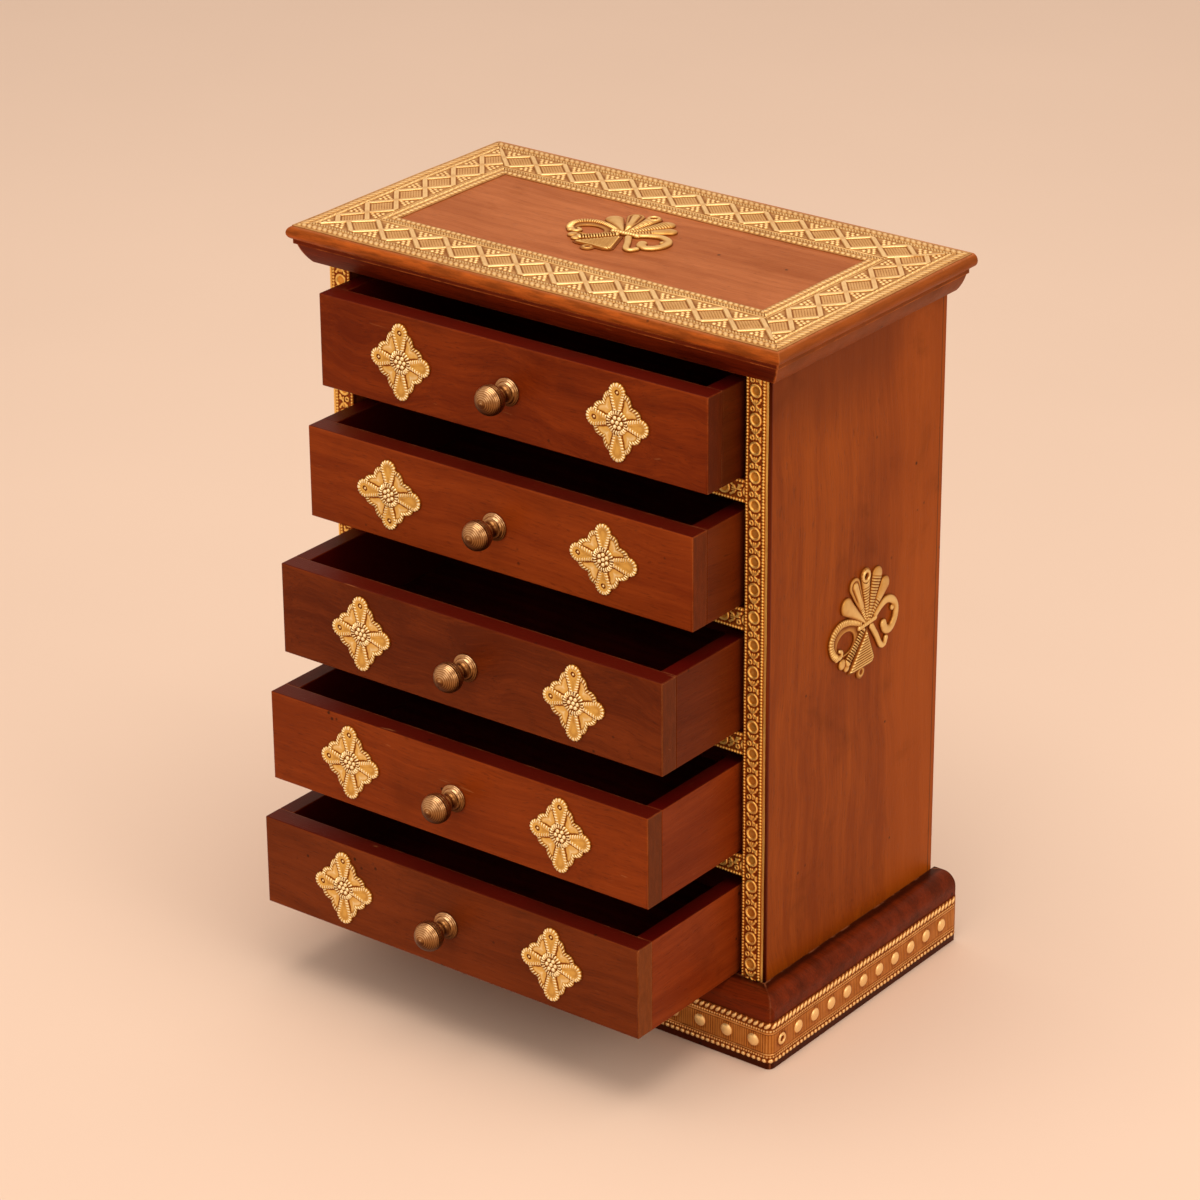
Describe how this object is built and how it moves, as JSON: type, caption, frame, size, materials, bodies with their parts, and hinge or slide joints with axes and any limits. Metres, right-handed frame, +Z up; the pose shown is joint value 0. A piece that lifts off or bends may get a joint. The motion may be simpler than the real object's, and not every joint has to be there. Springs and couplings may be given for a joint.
{
  "type": "table-top chest of drawers",
  "caption": "Small hardwood table-top chest with sliding drawers, moulded top and plinth, turned ball knobs and stamped brass trim.",
  "frame": {"origin": "middle of the carcass in plan, on the surface that the chest stands on", "axes": "+Z up, -Y out of the front towards which the drawers open, +X to the right seen from the front"},
  "size_m": [0.2606, 0.2232, 0.3315],
  "materials": {
    "carcass_wood": "polished reddish-brown hardwood",
    "top_wood": "polished hardwood, lighter where light falls on it",
    "drawer_wood": "polished reddish-brown hardwood with worn arrises",
    "inner_wood": "dark stained wood, matt",
    "stamped_brass": "thin stamped sheet with brown patina in its recesses",
    "turned_brass": "turned, antique brown"
  },
  "bodies": {
    "carcass": {"side_panel_left": "carcass_wood", "side_panel_right": "carcass_wood", "cornice_front": "carcass_wood", "cornice_left": "carcass_wood", "cornice_right": "carcass_wood", "plinth_front": "carcass_wood", "plinth_left": "carcass_wood", "plinth_right": "carcass_wood", "top_board": "top_wood", "carcass_top": "inner_wood", "divider_1": "inner_wood", "divider_2": "inner_wood", "divider_3": "inner_wood", "divider_4": "inner_wood", "base_board": "inner_wood", "bottom_panel": "inner_wood", "back_panel": "inner_wood", "stile_strip_left": "stamped_brass", "stile_strip_right": "stamped_brass", "rail_strips": "stamped_brass", "plinth_strip": "stamped_brass", "top_border": "stamped_brass", "plume_ornaments": "stamped_brass"},
    "drawer_1": {"drawer_1_front": "drawer_wood", "drawer_1_sides": "inner_wood", "drawer_1_back": "inner_wood", "drawer_1_bottom": "inner_wood", "drawer_1_knob": "turned_brass", "drawer_1_knob_nut": "turned_brass", "drawer_1_medallions": "stamped_brass"},
    "drawer_2": {"drawer_2_front": "drawer_wood", "drawer_2_sides": "inner_wood", "drawer_2_back": "inner_wood", "drawer_2_bottom": "inner_wood", "drawer_2_knob": "turned_brass", "drawer_2_knob_nut": "turned_brass", "drawer_2_medallions": "stamped_brass"},
    "drawer_3": {"drawer_3_front": "drawer_wood", "drawer_3_sides": "inner_wood", "drawer_3_back": "inner_wood", "drawer_3_bottom": "inner_wood", "drawer_3_knob": "turned_brass", "drawer_3_knob_nut": "turned_brass", "drawer_3_medallions": "stamped_brass"},
    "drawer_4": {"drawer_4_front": "drawer_wood", "drawer_4_sides": "inner_wood", "drawer_4_back": "inner_wood", "drawer_4_bottom": "inner_wood", "drawer_4_knob": "turned_brass", "drawer_4_knob_nut": "turned_brass", "drawer_4_medallions": "stamped_brass"},
    "drawer_5": {"drawer_5_front": "drawer_wood", "drawer_5_sides": "inner_wood", "drawer_5_back": "inner_wood", "drawer_5_bottom": "inner_wood", "drawer_5_knob": "turned_brass", "drawer_5_knob_nut": "turned_brass", "drawer_5_medallions": "stamped_brass"}
  },
  "joints": [
    {"name": "drawer_1_slide", "type": "slide", "parent": "carcass", "child": "drawer_1", "axis": [0, -1, 0], "range_m": [-0.023, 0.067]},
    {"name": "drawer_2_slide", "type": "slide", "parent": "carcass", "child": "drawer_2", "axis": [0, -1, 0], "range_m": [-0.033, 0.057]},
    {"name": "drawer_3_slide", "type": "slide", "parent": "carcass", "child": "drawer_3", "axis": [0, -1, 0], "range_m": [-0.054, 0.036]},
    {"name": "drawer_4_slide", "type": "slide", "parent": "carcass", "child": "drawer_4", "axis": [0, -1, 0], "range_m": [-0.064, 0.026]},
    {"name": "drawer_5_slide", "type": "slide", "parent": "carcass", "child": "drawer_5", "axis": [0, -1, 0], "range_m": [-0.071, 0.019]}
  ]
}
